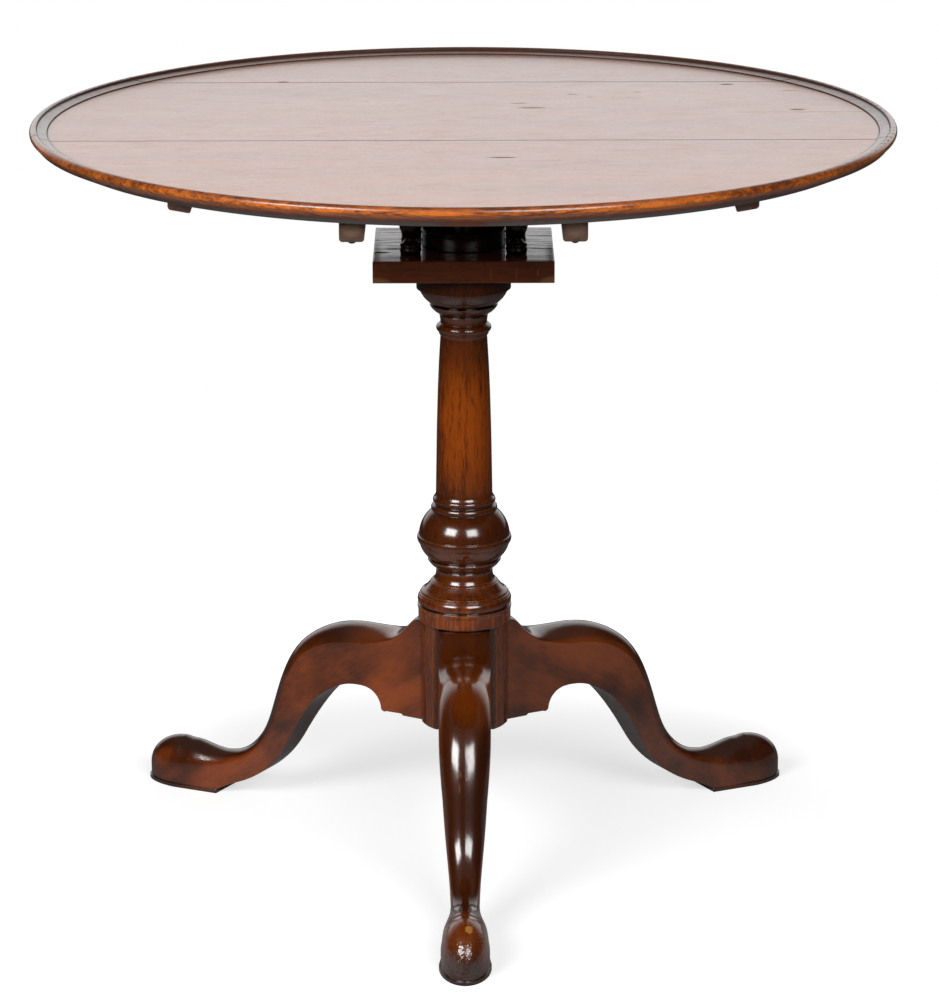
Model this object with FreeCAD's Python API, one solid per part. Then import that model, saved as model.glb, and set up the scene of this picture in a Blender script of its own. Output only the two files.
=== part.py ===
import FreeCAD, Part
import math
import os

# Tilt-top tea table with a dished round top, a revolving birdcage and three cabriole legs.
# Millimetres. Origin on the floor under the column's axis, +Z up, the front leg points to -Y.

Vector = FreeCAD.Vector
up = Vector(0, 0, 1)

# Whole table
table_height = 724.0
top_diameter = 816.0

# Fits
running_clearance = 0.3  # between pieces that turn or slide on each other
glue_clearance = 0.1  # round a glued tenon, a dovetail or a screw
cut_overrun = 6.0  # how far a cutting tool passes the piece that it cuts

# Tray top, three boards edge to edge, dished from the solid
top_thickness = 21.0
dish_depth = 5.8
rim_width = 16.6
lip_step = 1.0
under_bevel_width = 24.0

# Battens under the top: the inner pair carries the pintles
batten_width = 22.0
batten_round = 4.0
inner_batten_depth = 26.0
inner_batten_margin = 78.0  # from the edge of the top to the batten's end
outer_batten_depth = 19.0
outer_batten_margin = 84.5  # from the edge of the top to the batten's end
outer_batten_inset = 155.0  # from the side of the top to the batten's middle
batten_play = 0.9

# Screws
screw_shank_radius = 2.0
screw_head_radius = 4.2
screw_head_height = 2.8
screw_bite = 9.0
inner_screw_margin = 11.0  # from a batten's end to its first screw
outer_screw_margin = 39.5
small_screw_shank_radius = 1.3
small_screw_head_radius = 2.8
small_screw_head_height = 1.3
small_screw_length = 9.0

# Birdcage
block_width = 170.4
block_depth = 151.4
block_thickness = 21.0
block_round = 1.2
pintle_radius = 8.0
pintle_length = 17.0
pivot_relief_run = 4.0
pivot_relief_angle = 80.0  # degrees, where the rounded back edge ends
baluster_height = 79.0
baluster_radius = 11.0
baluster_spacing_x = 100.0
baluster_spacing_y = 80.0
tenon_radius = 6.5
tenon_length = 14.0

# Collar and wedge on the column's post
collar_radius = 39.5
collar_height = 17.5
wedge_length = 92.0
wedge_thickness = 9.0
wedge_thick_end = 20.0
wedge_thin_end = 14.0
wedge_lead = 4.0
wedge_round = 1.5
wedge_seat_gap = 3.0

# Column
column_radius = 45.2
drum_foot_height = 229.5
column_foot_height = 124.0
column_foot_step = 1.7
column_foot_chamfer = 2.0
leg_flat_distance = 30.5
post_radius = 21.0
post_tip_radius = 15.0
post_tip_length = 54.0
post_tip_taper = 5.0
post_end_gap = 4.0

# Sliding dovetails between legs and column
dovetail_depth = 14.0
dovetail_neck = 17.0
dovetail_width = 23.0
dovetail_height = 90.0

# Cabriole legs
leg_thickness = 50.0
foot_centre_reach = 332.5
toe_length = 41.0
foot_width = 45.2
foot_height = 49.1
foot_wall_height = 16.0
pad_thickness = 3.5
pad_lip = 1.6
pad_heel_reach = 284.0
pad_heel_width = 38.0
bracket_length = 51.0
bracket_reveal = 1.5

# Sliding bolt that holds the top down
bolt_width = 10.0
bolt_thickness = 5.0
bolt_length = 52.0
bolt_throw = 9.0
bolt_gap = 1.8
latch_wall = 2.2
latch_plate_thickness = 2.0
latch_plate_width = 44.0
latch_case_length = 44.0
latch_case_gap = 4.5
latch_screw_margin = 6.0
knob_stem_radius = 2.4
knob_rivet_radius = 1.5
knob_radius = 5.5
knob_height = 9.0
knob_stem_length = 4.0
keeper_width = 32.0
keeper_height = 11.0
keeper_thickness = 1.6
keeper_screw_margin = 5.0
mortise_margin = 1.5

# Height shares run from the drum's foot to the top of the cap, radius shares are of column_radius.
column_outline_shares = (
    ("line", (1.000, 0.0000)),
    ("line", (1.000, 0.0310)),  # drum
    ("line", (1.018, 0.0370)),
    ("line", (1.018, 0.0440)),  # lip of the drum
    ("line", (0.975, 0.0455)),
    ("line", (0.975, 0.0475)),  # groove
    ("line", (0.990, 0.0488)),
    ("arc", (1.014, 0.0605), (0.988, 0.0712)),  # torus
    ("line", (0.974, 0.0722)),
    ("line", (0.970, 0.0765)),  # lower fillet
    ("line", (0.942, 0.0780)),
    ("line", (0.935, 0.0828)),  # upper fillet
    ("line", (0.868, 0.0878)),
    ("arc", (0.792, 0.0985), (0.735, 0.1095)),  # hollow slope
    ("line", (0.710, 0.1112)),
    ("line", (0.705, 0.1132)),  # fillet
    ("line", (0.660, 0.1165)),
    ("arc", (0.628, 0.1255), (0.612, 0.1376)),  # cove
    ("line", (0.612, 0.1455)),  # neck
    ("line", (0.596, 0.1472)),
    ("line", (0.600, 0.1492)),  # groove
    ("arc", (0.712, 0.1595), (0.790, 0.1722)),  # ring under the ball
    ("line", (0.790, 0.1757)),
    ("line", (0.765, 0.1787)),
    ("line", (0.783, 0.1812)),
    ("arc", (0.903, 0.1990), (0.970, 0.2206)),  # lower half of the ball
    ("line", (0.980, 0.2217)),
    ("arc", (1.018, 0.2345), (1.006, 0.2430)),  # ridge round the ball
    ("line", (0.979, 0.2442)),
    ("arc", (0.893, 0.2854), (0.716, 0.3130)),  # upper half of the ball
    ("line", (0.698, 0.3140)),
    ("arc", (0.714, 0.3205), (0.685, 0.3305)),  # wide ring
    ("line", (0.642, 0.3325)),
    ("line", (0.642, 0.3368)),  # groove
    ("line", (0.658, 0.3382)),
    ("arc", (0.676, 0.3435), (0.655, 0.3510)),  # narrow ring
    ("line", (0.642, 0.3530)),
    ("arc", (0.617, 0.3590), (0.606, 0.3670)),  # flare
    ("curve", (0.589, 0.4979), (0.560, 0.6454), (0.498, 0.8043)),  # swelling shaft
    ("arc", (0.501, 0.8086), (0.512, 0.8122)),
    ("line", (0.529, 0.8139)),
    ("line", (0.531, 0.8184)),  # fillet
    ("line", (0.534, 0.8195)),
    ("arc", (0.586, 0.8300), (0.540, 0.8405)),  # astragal
    ("line", (0.494, 0.8434)),
    ("arc", (0.500, 0.8540), (0.514, 0.8640)),  # necking
    ("line", (0.518, 0.8668)),
    ("line", (0.498, 0.8678)),
    ("line", (0.512, 0.8698)),  # quirk
    ("arc", (0.652, 0.8815), (0.724, 0.8935)),  # bead
    ("line", (0.724, 0.8955)),
    ("line", (0.668, 0.8970)),
    ("arc", (0.861, 0.9182), (0.936, 0.9353)),  # bowl
    ("line", (0.940, 0.9388)),
    ("line", (1.002, 0.9412)),
    ("line", (1.002, 1.0000)),  # band of the cap
)

# Height shares are of baluster_height, radius shares of baluster_radius.
baluster_outline_shares = (
    ("line", (0.86, 0.000)),
    ("line", (0.90, 0.030)),
    ("arc", (0.94, 0.055), (0.88, 0.080)),  # foot
    ("line", (0.84, 0.086)),
    ("arc", (0.92, 0.105), (0.80, 0.128)),  # bulb
    ("line", (0.60, 0.142)),
    ("line", (0.60, 0.152)),  # fillet
    ("line", (0.46, 0.164)),
    ("arc", (0.43, 0.186), (0.50, 0.206)),  # neck
    ("curve", (0.76, 0.255), (0.95, 0.325), (1.00, 0.395), (0.90, 0.490)),  # vase
    ("curve", (0.78, 0.550), (0.64, 0.620), (0.48, 0.750)),  # neck of the vase
    ("line", (0.60, 0.758)),
    ("arc", (0.70, 0.776), (0.60, 0.794)),  # ring
    ("line", (0.50, 0.804)),
    ("arc", (0.58, 0.870), (0.78, 0.905)),  # flare under the cap
    ("line", (0.88, 0.918)),
    ("arc", (0.96, 0.950), (0.88, 0.982)),  # cap
    ("line", (0.82, 1.000)),
)

# Height shares are of collar_height, radius shares of collar_radius.
collar_outline_shares = (
    ("line", (0.98, 0.00)),
    ("line", (1.00, 0.04)),
    ("line", (1.00, 0.72)),  # straight side
    ("line", (0.97, 0.74)),
    ("line", (0.97, 0.79)),  # groove
    ("line", (0.98, 0.80)),
    ("arc", (1.00, 0.88), (0.97, 0.96)),  # bead
    ("line", (0.94, 1.00)),
)

# Inset shares are of rim_width, drop shares of top_thickness below the crest of the rim.
rim_cove_shares = ((0.700, 0.188), (0.420, 0.120))
rim_quirk_shares = (0.420, 0.050)
rim_crest_shares = ((0.350, 0.012), (0.265, 0.000))
rim_bead_shares = ((0.000, 0.214), (0.084, 0.371))
rim_hollow_shares = ((0.265, 0.490), (0.386, 0.640))

# Places of the two joints between the boards, from the front edge, as shares of top_diameter.
board_joint_shares = (0.4056, 0.7794)

# Sections of a leg: reach and height of the crest, reach and height of the underside, half width,
# arch, and how sharp the crease is along the side.
# Reach shares run from the column's flat to the foot's centre, height shares from the floor to the drum,
# width and arch shares are of half the leg's thickness.
leg_section_shares = (
    (0.000, 0.998, 0.000, 0.650, 1.000, 0.02, 0.50),
    (0.028, 0.998, 0.028, 0.650, 1.000, 0.06, 0.50),
    (0.050, 0.993, 0.050, 0.650, 1.000, 0.16, 0.50),
    (0.074, 0.960, 0.073, 0.650, 1.000, 0.17, 0.50),
    (0.099, 0.929, 0.096, 0.650, 1.000, 0.17, 0.50),
    (0.137, 0.902, 0.131, 0.650, 1.000, 0.24, 0.50),
    (0.197, 0.894, 0.190, 0.650, 1.000, 0.40, 0.50),
    (0.270, 0.896, 0.250, 0.650, 1.000, 0.58, 0.50),
    (0.353, 0.886, 0.310, 0.640, 1.000, 0.60, 0.50),
    (0.439, 0.846, 0.363, 0.608, 0.985, 0.60, 0.50),
    (0.507, 0.783, 0.404, 0.573, 0.960, 0.58, 0.48),
    (0.561, 0.686, 0.442, 0.525, 0.920, 0.56, 0.44),
    (0.603, 0.556, 0.478, 0.464, 0.860, 0.54, 0.38),
    (0.641, 0.407, 0.520, 0.379, 0.775, 0.52, 0.30),
    (0.682, 0.303, 0.568, 0.270, 0.680, 0.50, 0.22),
    (0.730, 0.238, 0.627, 0.176, 0.600, 0.48, 0.12),
    (0.780, 0.201, 0.697, 0.107, 0.548, 0.48, 0.05),
    (0.829, 0.187, 0.766, 0.063, 0.552, 0.52, 0.00),
    (0.890, 0.192, 0.830, 0.024, 0.670, 0.72, 0.00),
    (0.945, 0.207, 0.908, -0.014, 0.826, 1.02, 0.00),
)
leg_arch_height_share = 0.650

# Shares of the bracket's length and of its drop below the arch of the leg.
bracket_step_shares = ((0.500, 1.000), (0.540, 0.925), (0.880, 0.940))
bracket_bead_shares = ((0.975, 0.930), (1.000, 0.800))
bracket_hollow_shares = ((1.110, 0.300), (1.420, 0.010))

round_share = 0.5523  # length of a handle that rounds a quarter of an ellipse
knob_place_share = 0.333  # of latch_case_length, from its front end

leg_angles = {"leg_front": -90, "leg_back_right": 30, "leg_back_left": 150}

# Heights and places that follow from the sizes
top_radius = top_diameter / 2
underside = table_height - top_thickness
field_height = table_height - dish_depth
upper_block_foot = underside - block_thickness
lower_block_top = upper_block_foot - baluster_height
cap_top = lower_block_top - block_thickness
collar_top = lower_block_top + collar_height
column_foot_radius = column_radius - column_foot_step
pivot_drop = (block_thickness + running_clearance) / 2
pivot_round = pivot_drop - running_clearance
pivot_y = block_depth / 2 - pivot_round
pivot_height = underside - pivot_drop
block_front = -block_depth / 2
batten_inner_x = block_width / 2 + batten_play
inner_batten_x = batten_inner_x + batten_width / 2
inner_batten_length = top_diameter - 2 * inner_batten_margin
outer_batten_x = top_radius - outer_batten_inset
post_end = underside - post_end_gap
post_shoulder = post_end - post_tip_length
bolt_middle = underside - latch_plate_thickness - running_clearance - bolt_thickness / 2
bolt_tip = block_front - bolt_gap
latch_case_back = block_front - latch_case_gap
latch_case_front = latch_case_back - latch_case_length
knob_y = latch_case_front + knob_place_share * latch_case_length
leg_half = leg_thickness / 2
foot_base = pad_thickness / 2  # the leg and its toe are let into the pad


def line(start, end):
    return Part.LineSegment(start, end).toShape()


def arc(start, middle, end):
    return Part.Arc(start, middle, end).toShape()


def bezier(*poles):
    curve = Part.BezierCurve()
    curve.setPoles(list(poles))
    return curve.toShape()


def spline(points):
    curve = Part.BSplineCurve()
    curve.interpolate(points)
    return curve.toShape()


def outline_edges(start, steps, place):
    """Edges from start through steps of lines, arcs and curves, whose points place() turns into vectors."""
    edges = []
    here = start
    for kind, *points in steps:
        there = [place(*point) for point in points]
        if kind == "line":
            edges.append(line(here, there[0]))
        elif kind == "arc":
            edges.append(arc(here, *there))
        else:
            edges.append(spline([here] + there))
        here = there[-1]
    return edges


def filled(edges):
    return Part.Face(Part.Wire(edges))


def polygon(points):
    return Part.Face(Part.makePolygon(list(points) + [points[0]]))


def turned(edges):
    """Solid turned about the vertical axis from edges in the XZ plane that start and end on the axis."""
    first = edges[0].firstVertex().Point
    last = edges[-1].lastVertex().Point
    return filled(edges + [line(last, first)]).revolve(Vector(), up, 360)


def path_of(points):
    return [line(a, b) for a, b in zip(points, points[1:])]


def box(low, high):
    size = high - low
    return Part.makeBox(size.x, size.y, size.z, low)


def extruded(face, low, high):
    """Face drawn at zero height, as a solid between two heights."""
    solid = face.extrude(Vector(0, 0, high - low))
    solid.translate(Vector(0, 0, low))
    return solid


def spun(shape, angle):
    turned_shape = shape.copy()
    turned_shape.rotate(Vector(), up, angle)
    return turned_shape


def mirrored_x(shape):
    return shape.mirror(Vector(), Vector(1, 0, 0))


def along_x(radius, length, start):
    return Part.makeCylinder(radius, length, start, Vector(1, 0, 0))


def rounded(solid, radius, chosen):
    """Solid with a fillet on each edge that chosen() accepts by its middle point and its direction."""
    edges = []
    for edge in solid.Edges:
        first, last = edge.ParameterRange
        if chosen(edge.valueAt((first + last) / 2), edge.tangentAt((first + last) / 2)):
            edges.append(edge)
    return solid.makeFillet(radius, edges)


def near(a, b):
    return abs(a - b) < running_clearance


# Tray top


def rim_point(inset_share, drop_share):
    return Vector(top_radius - inset_share * rim_width, 0, table_height - drop_share * top_thickness)


def tray_disc():
    """The whole dished top, as if made of one board."""
    field_edge = Vector(top_radius - rim_width, 0, field_height)
    steps = [("arc", *rim_cove_shares), ("line", rim_quirk_shares)]
    steps += [("arc", *pair) for pair in (rim_crest_shares, rim_bead_shares, rim_hollow_shares)]
    rim = outline_edges(field_edge + up * lip_step, steps, rim_point)
    bevel_edge = Vector(top_radius - under_bevel_width, 0, underside)
    edges = path_of([Vector(0, 0, field_height), field_edge, field_edge + up * lip_step])
    edges += rim
    edges += path_of([rim[-1].lastVertex().Point, bevel_edge, Vector(0, 0, underside)])
    return turned(edges)


def top_boards(holes):
    disc = tray_disc().cut(holes)
    front_joint, back_joint = [share * top_diameter - top_radius for share in board_joint_shares]
    edge = top_radius + cut_overrun
    strips = {
        "top_board_front": (-edge, front_joint),
        "top_board_middle": (front_joint, back_joint),
        "top_board_back": (back_joint, edge),
    }
    boards = {}
    for name, (low, high) in strips.items():
        foot = Vector(-edge, low, underside - cut_overrun)
        head = Vector(edge, high, table_height + cut_overrun)
        boards[name] = disc.common(box(foot, head))
    return boards


# Battens and their screws


def inner_batten():
    """The right inner batten, with its lower edges and ends rounded and a blind hole for the pintle."""
    low = Vector(batten_inner_x, -inner_batten_length / 2, underside - inner_batten_depth)
    high = Vector(batten_inner_x + batten_width, inner_batten_length / 2, underside)
    bar = rounded(box(low, high), batten_round, lambda at, way: near(at.z, low.z))
    hole = along_x(
        pintle_radius + running_clearance,
        cut_overrun + pintle_length - batten_play + running_clearance,
        Vector(batten_inner_x - cut_overrun, pivot_y, pivot_height),
    )
    return bar.cut(hole)


def outer_batten_end(x):
    """How far back the outer batten runs at a place across it, so that its ends follow the rim."""
    return math.sqrt(top_radius**2 - x**2) - outer_batten_margin


def outer_batten():
    """The right outer batten, its ends cut slanting to follow the rim."""
    x_in = outer_batten_x - batten_width / 2
    x_out = x_in + batten_width
    y_in = outer_batten_end(x_in)
    y_out = outer_batten_end(x_out)
    plan = [
        Vector(x_in, -y_in, 0),
        Vector(x_out, -y_out, 0),
        Vector(x_out, y_out, 0),
        Vector(x_in, y_in, 0),
    ]
    bar = extruded(polygon(plan), underside - outer_batten_depth, underside)
    return rounded(bar, batten_round, lambda at, way: near(at.z, underside - outer_batten_depth))


def screw(shank_radius, head_radius, head_height, length):
    """Round-headed screw: the head hangs below zero height and the shank stands above it."""
    edges = [
        arc(
            Vector(0, 0, -head_height),
            Vector(head_radius * math.sin(math.pi / 4), 0, -head_height * math.cos(math.pi / 4)),
            Vector(head_radius, 0, 0),
        )
    ]
    edges += path_of(
        [
            Vector(head_radius, 0, 0),
            Vector(shank_radius, 0, 0),
            Vector(shank_radius, 0, length),
            Vector(0, 0, length),
        ]
    )
    return turned(edges)


def screw_row(x, reach, count, foot, depth):
    """Seats of evenly spaced screws along a batten, each with the depth of the batten over it."""
    places = []
    for step in range(count):
        y = reach * (2 * step / (count - 1) - 1)
        places.append((Vector(x, y, foot), depth))
    return places


def batten_screw_places():
    inner_reach = inner_batten_length / 2 - inner_screw_margin
    outer_reach = outer_batten_end(outer_batten_x) - outer_screw_margin
    inner_foot = underside - inner_batten_depth
    outer_foot = underside - outer_batten_depth
    places = []
    for side in (-1, 1):
        places += screw_row(side * inner_batten_x, inner_reach, 4, inner_foot, inner_batten_depth)
        places += screw_row(side * outer_batten_x, outer_reach, 3, outer_foot, outer_batten_depth)
    return places


def batten_screws(clearance):
    """The batten screws, or with a clearance the holes that they sit in."""
    screws = []
    for seat, depth in batten_screw_places():
        length = depth + screw_bite + clearance
        one = screw(screw_shank_radius + clearance, screw_head_radius, screw_head_height, length)
        one.translate(seat)
        screws.append(one)
    return Part.makeCompound(screws)


# Birdcage


def baluster_places():
    x = baluster_spacing_x / 2
    y = baluster_spacing_y / 2
    return {
        "baluster_front_left": Vector(-x, -y, lower_block_top),
        "baluster_front_right": Vector(x, -y, lower_block_top),
        "baluster_back_left": Vector(-x, y, lower_block_top),
        "baluster_back_right": Vector(x, y, lower_block_top),
    }


def baluster():
    """One turned baluster with a round tenon at each end, its foot at zero height."""

    def place(radius_share, height_share):
        return Vector(radius_share * baluster_radius, 0, height_share * baluster_height)

    foot = place(*baluster_outline_shares[0][1])
    turning = outline_edges(foot, baluster_outline_shares[1:], place)
    head = turning[-1].lastVertex().Point
    top = baluster_height + tenon_length
    edges = path_of(
        [
            Vector(0, 0, -tenon_length),
            Vector(tenon_radius, 0, -tenon_length),
            Vector(tenon_radius, 0, 0),
            foot,
        ]
    )
    edges += turning
    edges += path_of(
        [
            head,
            Vector(tenon_radius, 0, baluster_height),
            Vector(tenon_radius, 0, top),
            Vector(0, 0, top),
        ]
    )
    return turned(edges)


def baluster_sockets():
    radius = tenon_radius + glue_clearance
    reach = tenon_length + glue_clearance
    sockets = []
    for foot in baluster_places().values():
        sockets.append(Part.makeCylinder(radius, baluster_height + 2 * reach, foot - up * reach))
    return Part.makeCompound(sockets)


def post_bore(low, high):
    return Part.makeCylinder(post_radius + running_clearance, high - low, Vector(0, 0, low))


def cage_lower_block():
    low = Vector(-block_width / 2, block_front, cap_top)
    high = Vector(block_width / 2, block_depth / 2, lower_block_top)

    def on_flat_face(at, way):
        return near(at.z, cap_top) or near(at.z, lower_block_top)

    block = rounded(box(low, high), block_round, on_flat_face)
    bore = post_bore(cap_top - cut_overrun, lower_block_top + cut_overrun)
    return block.cut([bore, baluster_sockets()])


def pivot_edge(angle):
    """Point on the upper block's rounded back edge, at an angle up from straight back."""
    rise = math.radians(angle)
    return Vector(0, pivot_y + pivot_round * math.cos(rise), pivot_height + pivot_round * math.sin(rise))


def cage_upper_block():
    """Block with a rounded back edge, and a pintle at each end of that edge for the top to tilt on."""
    foot = pivot_edge(-90)
    head = pivot_edge(pivot_relief_angle)
    edges = path_of(
        [
            head,
            Vector(0, pivot_y - pivot_relief_run, underside),
            Vector(0, block_front, underside),
            Vector(0, block_front, upper_block_foot),
            foot,
        ]
    )
    edges += [arc(foot, pivot_edge(0), head)]
    block = filled(edges).extrude(Vector(block_width, 0, 0))
    block.translate(Vector(-block_width / 2, 0, 0))
    pintle_run = block_width + 2 * pintle_length
    pintles = along_x(pintle_radius, pintle_run, Vector(-pintle_run / 2, pivot_y, pivot_height))
    tip_bore = Part.makeCylinder(
        post_tip_radius + running_clearance,
        post_end + running_clearance - upper_block_foot + cut_overrun,
        Vector(0, 0, upper_block_foot - cut_overrun),
    )
    latch_cuts = [bolt_mortise(), keeper_blank(), keeper_screws(glue_clearance)]
    return block.fuse(pintles).cut([tip_bore, baluster_sockets()] + latch_cuts)


# Column, collar and wedge


def column_turning():
    turned_height = cap_top - drum_foot_height

    def place(radius_share, height_share):
        return Vector(radius_share * column_radius, 0, drum_foot_height + height_share * turned_height)

    drum_foot = place(*column_outline_shares[0][1])
    turning = outline_edges(drum_foot, column_outline_shares[1:], place)
    cap_edge = turning[-1].lastVertex().Point
    chamfer = column_foot_chamfer
    edges = path_of(
        [
            Vector(0, 0, column_foot_height),
            Vector(column_foot_radius - chamfer, 0, column_foot_height),
            Vector(column_foot_radius, 0, column_foot_height + chamfer),
            Vector(column_foot_radius, 0, drum_foot_height),
            drum_foot,
        ]
    )
    edges += turning
    edges += path_of(
        [
            cap_edge,
            Vector(post_radius, 0, cap_top),
            Vector(post_radius, 0, post_shoulder - post_tip_taper),
            Vector(post_tip_radius, 0, post_shoulder),
            Vector(post_tip_radius, 0, post_end),
            Vector(0, 0, post_end),
        ]
    )
    return turned(edges)


def dovetail(clearance, low, high, outward):
    """Dovetail prism that points to the axis from the column's flat and runs outward past the flat."""
    neck = dovetail_neck / 2 + clearance
    wide = dovetail_width / 2 + clearance
    inner = leg_flat_distance - dovetail_depth - clearance
    outer = leg_flat_distance + outward
    plan = [
        Vector(inner, -wide, 0),
        Vector(leg_flat_distance, -neck, 0),
        Vector(outer, -neck, 0),
        Vector(outer, neck, 0),
        Vector(leg_flat_distance, neck, 0),
        Vector(inner, wide, 0),
    ]
    return extruded(polygon(plan), low, high)


def wedge_blank(clearance, overrun):
    """Wedge along X that rests on the collar, with its thick end on the right."""
    slope = (wedge_thick_end - wedge_thin_end) / wedge_length
    half = wedge_length / 2 + overrun
    left = wedge_lead - half
    right = wedge_lead + half
    middle_height = (wedge_thick_end + wedge_thin_end) / 2 + clearance
    foot = collar_top - (wedge_seat_gap if clearance else 0)
    side = [
        Vector(left, 0, foot),
        Vector(right, 0, foot),
        Vector(right, 0, collar_top + middle_height + slope * half),
        Vector(left, 0, collar_top + middle_height - slope * half),
    ]
    thick = wedge_thickness + 2 * clearance
    blank = polygon(side).extrude(Vector(0, thick, 0))
    blank.translate(Vector(0, -thick / 2, 0))
    return blank


def wedge():
    blank = wedge_blank(0, 0)
    return rounded(blank, wedge_round, lambda at, way: near(abs(way.y), 1))


def column():
    """Turned column with a flat and a dovetail socket for each leg, and a slot for the wedge."""
    tools = [wedge_blank(running_clearance, cut_overrun)]
    for angle in leg_angles.values():
        flat = box(
            Vector(leg_flat_distance, -column_radius, column_foot_height - cut_overrun),
            Vector(column_radius + cut_overrun, column_radius, drum_foot_height),
        )
        low = column_foot_height - cut_overrun
        high = column_foot_height + dovetail_height + glue_clearance
        tools += [spun(flat, angle), spun(dovetail(glue_clearance, low, high, 0), angle)]
    return column_turning().cut(tools)


def collar():
    def place(radius_share, height_share):
        return Vector(radius_share * collar_radius, 0, lower_block_top + height_share * collar_height)

    foot = place(*collar_outline_shares[0][1])
    turning = outline_edges(foot, collar_outline_shares[1:], place)
    edges = path_of([Vector(0, 0, lower_block_top), foot]) + turning
    edges += path_of([turning[-1].lastVertex().Point, Vector(0, 0, collar_top)])
    return turned(edges).cut(post_bore(lower_block_top - cut_overrun, collar_top + cut_overrun))


# Cabriole legs, modelled along +X and then spun to their places


def leg_point(reach_share, height_share):
    reach = leg_flat_distance + reach_share * (foot_centre_reach - leg_flat_distance)
    return Vector(reach, 0, height_share * drum_foot_height)


def arch_poles(half_width, wall, height, crease):
    """Handles of the curve from the top of a side wall to the crest: sideways and upward places."""
    arch = height - wall
    return [
        (half_width, wall),
        (half_width - crease * round_share * arch, wall + round_share * arch),
        (half_width * round_share, height),
        (0, height),
    ]


def section_wire(crest, sole, half_width, arch, crease):
    """Outline across the leg: flat underside, straight sides and an arched top."""
    rise = crest - sole
    height = rise.Length
    rise.normalize()

    def place(sideways, upward):
        return sole + rise * upward + Vector(0, sideways, 0)

    poles = arch_poles(half_width, height - arch, height, crease)
    right = [place(*pole) for pole in poles]
    left = [place(-sideways, upward) for sideways, upward in reversed(poles)]
    return Part.Wire(
        [
            line(place(-half_width, 0), place(half_width, 0)),
            line(place(half_width, 0), right[0]),
            bezier(*right),
            bezier(*left),
            line(left[-1], place(-half_width, 0)),
        ]
    )


def foot_section():
    """Last section of the leg, at the foot's centre, where the toe begins."""
    crest = Vector(foot_centre_reach, 0, foot_height)
    sole = Vector(foot_centre_reach, 0, -pad_thickness)
    return section_wire(crest, sole, foot_width / 2, foot_height - foot_wall_height, 0)


def leg_blank():
    sections = []
    for crest_reach, crest_height, sole_reach, sole_height, width, arch, crease in leg_section_shares:
        crest = leg_point(crest_reach, crest_height)
        sole = leg_point(sole_reach, sole_height)
        sections.append(section_wire(crest, sole, width * leg_half, arch * leg_half, crease))
    sections.append(foot_section())
    below = box(
        Vector(0, -leg_thickness, -leg_thickness),
        Vector(foot_centre_reach + cut_overrun, leg_thickness, foot_base),
    )
    return Part.makeLoft(sections, True).cut(below)


def toe():
    """Half a dome in front of the foot's centre, drawn out to an egg-shaped toe."""
    half = foot_width / 2
    poles = arch_poles(half, foot_wall_height, foot_height, 0)
    wall_top, *handles = [Vector(0, -sideways, upward) for sideways, upward in poles]
    base = Vector(0, 0, foot_base)
    edges = path_of([base, base + Vector(0, -half, 0), wall_top])
    edges += [bezier(wall_top, *handles), line(handles[-1], base)]
    dome = filled(edges).revolve(Vector(), up, 180)
    stretch = FreeCAD.Matrix()
    stretch.scale(Vector(toe_length / half, 1, 1))
    egg = dome.transformGeometry(stretch)
    egg.translate(Vector(foot_centre_reach, 0, 0))
    return egg


def pad():
    """Thin sole under the foot, a little proud of it, with a round toe and a straight heel."""
    centre = Vector(foot_centre_reach, 0, 0)
    toe_tip = centre + Vector(toe_length + pad_lip, 0, 0)
    side = Vector(0, foot_width / 2 + pad_lip, 0)
    heel = Vector(pad_heel_reach, 0, 0)
    heel_side = Vector(0, pad_heel_width / 2, 0)
    ellipse = Part.Ellipse(toe_tip, centre + side, centre)
    front = Part.ArcOfEllipse(ellipse, -math.pi / 2, math.pi / 2).toShape()
    back = path_of([centre + side, heel + heel_side, heel - heel_side, centre - side])
    return extruded(filled([front] + back), 0, pad_thickness)


def bracket():
    """Scrolled lower end of the leg where it meets the column."""
    arch_height = leg_arch_height_share * drum_foot_height
    foot = column_foot_height + bracket_reveal
    drop = arch_height - foot

    def place(length_share, drop_share):
        return Vector(leg_flat_distance + length_share * bracket_length, 0, arch_height - drop_share * drop)

    root = place(0, 1)
    steps = [("line", point) for point in bracket_step_shares]
    steps += [("arc", *bracket_bead_shares), ("arc", *bracket_hollow_shares)]
    edges = outline_edges(root, steps, place)
    end = edges[-1].lastVertex().Point
    top = arch_height + cut_overrun
    edges += path_of([end, Vector(end.x, 0, top), Vector(leg_flat_distance, 0, top), root])
    solid = filled(edges).extrude(Vector(0, leg_thickness, 0))
    solid.translate(Vector(0, -leg_half, 0))
    return solid


def leg():
    low = column_foot_height + bracket_reveal
    tongue = dovetail(0, low, column_foot_height + dovetail_height, cut_overrun)
    return leg_blank().fuse([bracket(), toe(), pad(), tongue]).removeSplitter()


# Sliding bolt under the top and its keeper in the upper block


def latch_case():
    """Plate screwed to the underside, with a channel for the bolt and a slot for the knob's stem."""
    channel_half = bolt_width / 2 + running_clearance
    channel_foot = bolt_middle - bolt_thickness / 2 - running_clearance
    plate_foot = underside - latch_plate_thickness
    plate = box(
        Vector(-latch_plate_width / 2, latch_case_front, plate_foot),
        Vector(latch_plate_width / 2, latch_case_back, underside),
    )
    house = box(
        Vector(-channel_half - latch_wall, latch_case_front, channel_foot - latch_wall),
        Vector(channel_half + latch_wall, latch_case_back, plate_foot),
    )
    channel = box(
        Vector(-channel_half, latch_case_front - cut_overrun, channel_foot),
        Vector(channel_half, latch_case_back + cut_overrun, plate_foot),
    )
    slot_half = knob_stem_radius + running_clearance
    slot = box(
        Vector(-slot_half, knob_y - slot_half, channel_foot - latch_wall - cut_overrun),
        Vector(slot_half, knob_y + bolt_throw + slot_half, channel_foot + running_clearance),
    )
    return plate.fuse(house).cut([channel, slot, latch_screws(glue_clearance)])


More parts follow.
